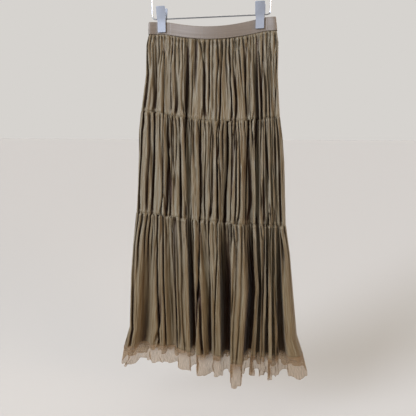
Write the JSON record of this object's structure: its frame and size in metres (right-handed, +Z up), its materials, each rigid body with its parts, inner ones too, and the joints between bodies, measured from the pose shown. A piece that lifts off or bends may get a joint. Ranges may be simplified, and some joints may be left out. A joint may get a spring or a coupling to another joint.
{
  "type": "maxi skirt on a clip hanger",
  "caption": "Long tiered skirt with gathered crinkled cloth, elastic waistband and sheer frill hem, hung by two sprung clips from a wire skirt hanger.",
  "frame": {"origin": "highest point of the hook's inner curve, where a rail carries the hanger", "axes": "+Z up, +X to the right as seen from the front, and the front of the skirt faces -Y"},
  "size_m": [0.505, 0.1589, 1.0779],
  "materials": {
    "elastic_ribbon": "ribbed satin elastic",
    "crinkled_satin_georgette": "crinkled, soft satin sheen",
    "sheer_chiffon": "sheer, matt",
    "chromed_wire": "bright",
    "satin_nickel": "satin",
    "spring_steel": "bright drawn",
    "grip_rubber": "matt"
  },
  "bodies": {
    "root": {"waistband_front": "elastic_ribbon", "waistband_back": "elastic_ribbon", "tier_1_front": "crinkled_satin_georgette", "tier_1_back": "crinkled_satin_georgette", "tier_2_front": "crinkled_satin_georgette", "tier_2_back": "crinkled_satin_georgette", "tier_3_front": "crinkled_satin_georgette", "tier_3_back": "crinkled_satin_georgette", "frill_front": "sheer_chiffon", "frill_back": "sheer_chiffon", "hanger_frame": "chromed_wire", "hanger_neck": "chromed_wire", "hanger_hook": "chromed_wire", "clip_left_plate_front": "satin_nickel", "clip_left_plate_back": "satin_nickel", "clip_left_pad_front": "grip_rubber", "clip_left_pad_back": "grip_rubber", "clip_left_spring": "spring_steel", "clip_right_plate_front": "satin_nickel", "clip_right_plate_back": "satin_nickel", "clip_right_pad_front": "grip_rubber", "clip_right_pad_back": "grip_rubber", "clip_right_spring": "spring_steel"}
  },
  "joints": []
}
